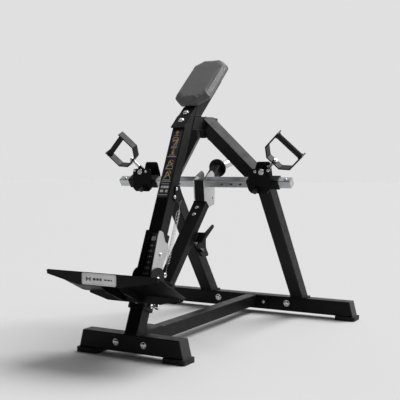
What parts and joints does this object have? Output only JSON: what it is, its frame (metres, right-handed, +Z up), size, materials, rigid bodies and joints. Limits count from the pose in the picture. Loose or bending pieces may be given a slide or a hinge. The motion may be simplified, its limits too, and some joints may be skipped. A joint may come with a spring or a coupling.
{
  "type": "chest supported row machine",
  "caption": "Plate-loaded chest supported lever row machine with sliding footplate, swinging lever, crossbar and swivelling D-handles.",
  "frame": {"origin": "on the floor under the middle of the machine's footprint", "axes": "+X to the user's right, +Y from the footplate to the rear feet, +Z up"},
  "size_m": [1.3772, 1.7404, 1.5608],
  "materials": {
    "black_paint": "satin fine-textured black powder coat",
    "carriage_black": "satin black powder coat",
    "handle_grey": "dark grey powder coat",
    "silver_bar": "satin plated, lightly brushed along its length",
    "stainless": "brushed stainless",
    "chrome": "bright plated",
    "bronze": "turned bronze",
    "pad_vinyl": "dark grey upholstery vinyl with fine grain",
    "plywood": "black stained plywood",
    "rubber": "matte black rubber",
    "black_plastic": "fine textured black plastic",
    "nylon": "natural nylon",
    "badge_metal": "blank satin badge plate"
  },
  "bodies": {
    "frame": {"front_base_bar": "black_paint", "rear_base_bar": "black_paint", "base_end_caps": "black_plastic", "rubber_feet": "rubber", "centre_beam": "black_paint", "weld_plates": "black_paint", "frame_bolts": "chrome", "frame_nuts": "chrome", "mast": "black_paint", "mast_head_plate": "black_paint", "top_beam": "black_paint", "tube_end_caps": "black_plastic", "top_beam_gusset": "black_paint", "legs_upper": "black_paint", "legs_lower": "black_paint", "pad_tube": "black_paint", "pad_mount_plate": "black_paint", "pad_board": "plywood", "chest_pad": "pad_vinyl", "pad_screws": "chrome", "pivot_bracket": "black_paint", "pivot_shaft": "carriage_black", "spring_bracket": "black_paint", "rest_plate": "black_paint", "rest_arm": "black_paint", "rubber_stops": "rubber", "counterbalance_spring": "chrome"},
    "footplate": {"footplate_sleeve": "black_paint", "footplate_side_plate": "stainless", "footplate_glides": "nylon", "footplate_deck": "black_paint", "footplate_gussets": "black_paint", "footplate_badge": "badge_metal", "footplate_bolts": "chrome", "spring_eye": "chrome", "pin_barrel": "chrome"},
    "footplate_pin": {"footplate_pin": "chrome"},
    "lever": {"lever_arm": "black_paint", "lever_bushes": "bronze", "lever_bolts": "chrome", "crossbar": "silver_bar", "crossbar_caps": "silver_bar", "yoke_block": "black_paint", "yoke_plates": "stainless", "horn_post": "black_paint", "weight_horn": "stainless"},
    "left_carriage": {"left_carriage": "carriage_black", "left_carriage_bolts": "chrome"},
    "left_lock_pin": {"left_lock_pin": "black_plastic"},
    "left_hub": {"left_swivel_hub": "carriage_black"},
    "left_handle": {"left_handle_rod": "stainless", "left_handle_strap": "handle_grey", "left_grip": "rubber"},
    "right_carriage": {"right_carriage": "carriage_black", "right_carriage_bolts": "chrome"},
    "right_lock_pin": {"right_lock_pin": "black_plastic"},
    "right_hub": {"right_swivel_hub": "carriage_black"},
    "right_handle": {"right_handle_rod": "stainless", "right_handle_strap": "handle_grey", "right_grip": "rubber"}
  },
  "joints": [
    {"name": "footplate_slide", "type": "slide", "parent": "frame", "child": "footplate", "axis": [0, 0.4147, 0.91], "range_m": [0, 0.15], "deforming": ["counterbalance_spring"]},
    {"name": "footplate_pin_pull", "type": "slide", "parent": "footplate", "child": "footplate_pin", "axis": [1, 0, 0], "range_m": [-0.01, 0]},
    {"name": "lever_swing", "type": "hinge", "parent": "frame", "child": "lever", "pos_m": [0, -0.3035, 0.3089], "axis": [1, 0, 0], "range_deg": [0, 13]},
    {"name": "left_carriage_slide", "type": "slide", "parent": "lever", "child": "left_carriage", "axis": [1, 0, 0], "range_m": [0, 0.228]},
    {"name": "left_lock_pin_pull", "type": "slide", "parent": "left_carriage", "child": "left_lock_pin", "axis": [0, -0.832, -0.5548], "range_m": [-0.01, 0]},
    {"name": "left_hub_swing", "type": "hinge", "parent": "left_carriage", "child": "left_hub", "pos_m": [-0.39, 0.1048, 0.91], "axis": [0, 1, 0], "range_deg": [0, 35]},
    {"name": "left_handle_spin", "type": "hinge", "parent": "left_hub", "child": "left_handle", "pos_m": [-0.39, 0.1048, 0.91], "axis": [-0.6643, -0.2924, 0.6879], "continuous": true},
    {"name": "right_carriage_slide", "type": "slide", "parent": "lever", "child": "right_carriage", "axis": [-1, 0, 0], "range_m": [0, 0.228]},
    {"name": "right_lock_pin_pull", "type": "slide", "parent": "right_carriage", "child": "right_lock_pin", "axis": [0, -0.832, -0.5548], "range_m": [-0.01, 0]},
    {"name": "right_hub_swing", "type": "hinge", "parent": "right_carriage", "child": "right_hub", "pos_m": [0.39, 0.1048, 0.91], "axis": [0, -1, 0], "range_deg": [0, 42]},
    {"name": "right_handle_spin", "type": "hinge", "parent": "right_hub", "child": "right_handle", "pos_m": [0.39, 0.1048, 0.91], "axis": [0.7432, -0.2924, 0.6018], "continuous": true}
  ]
}
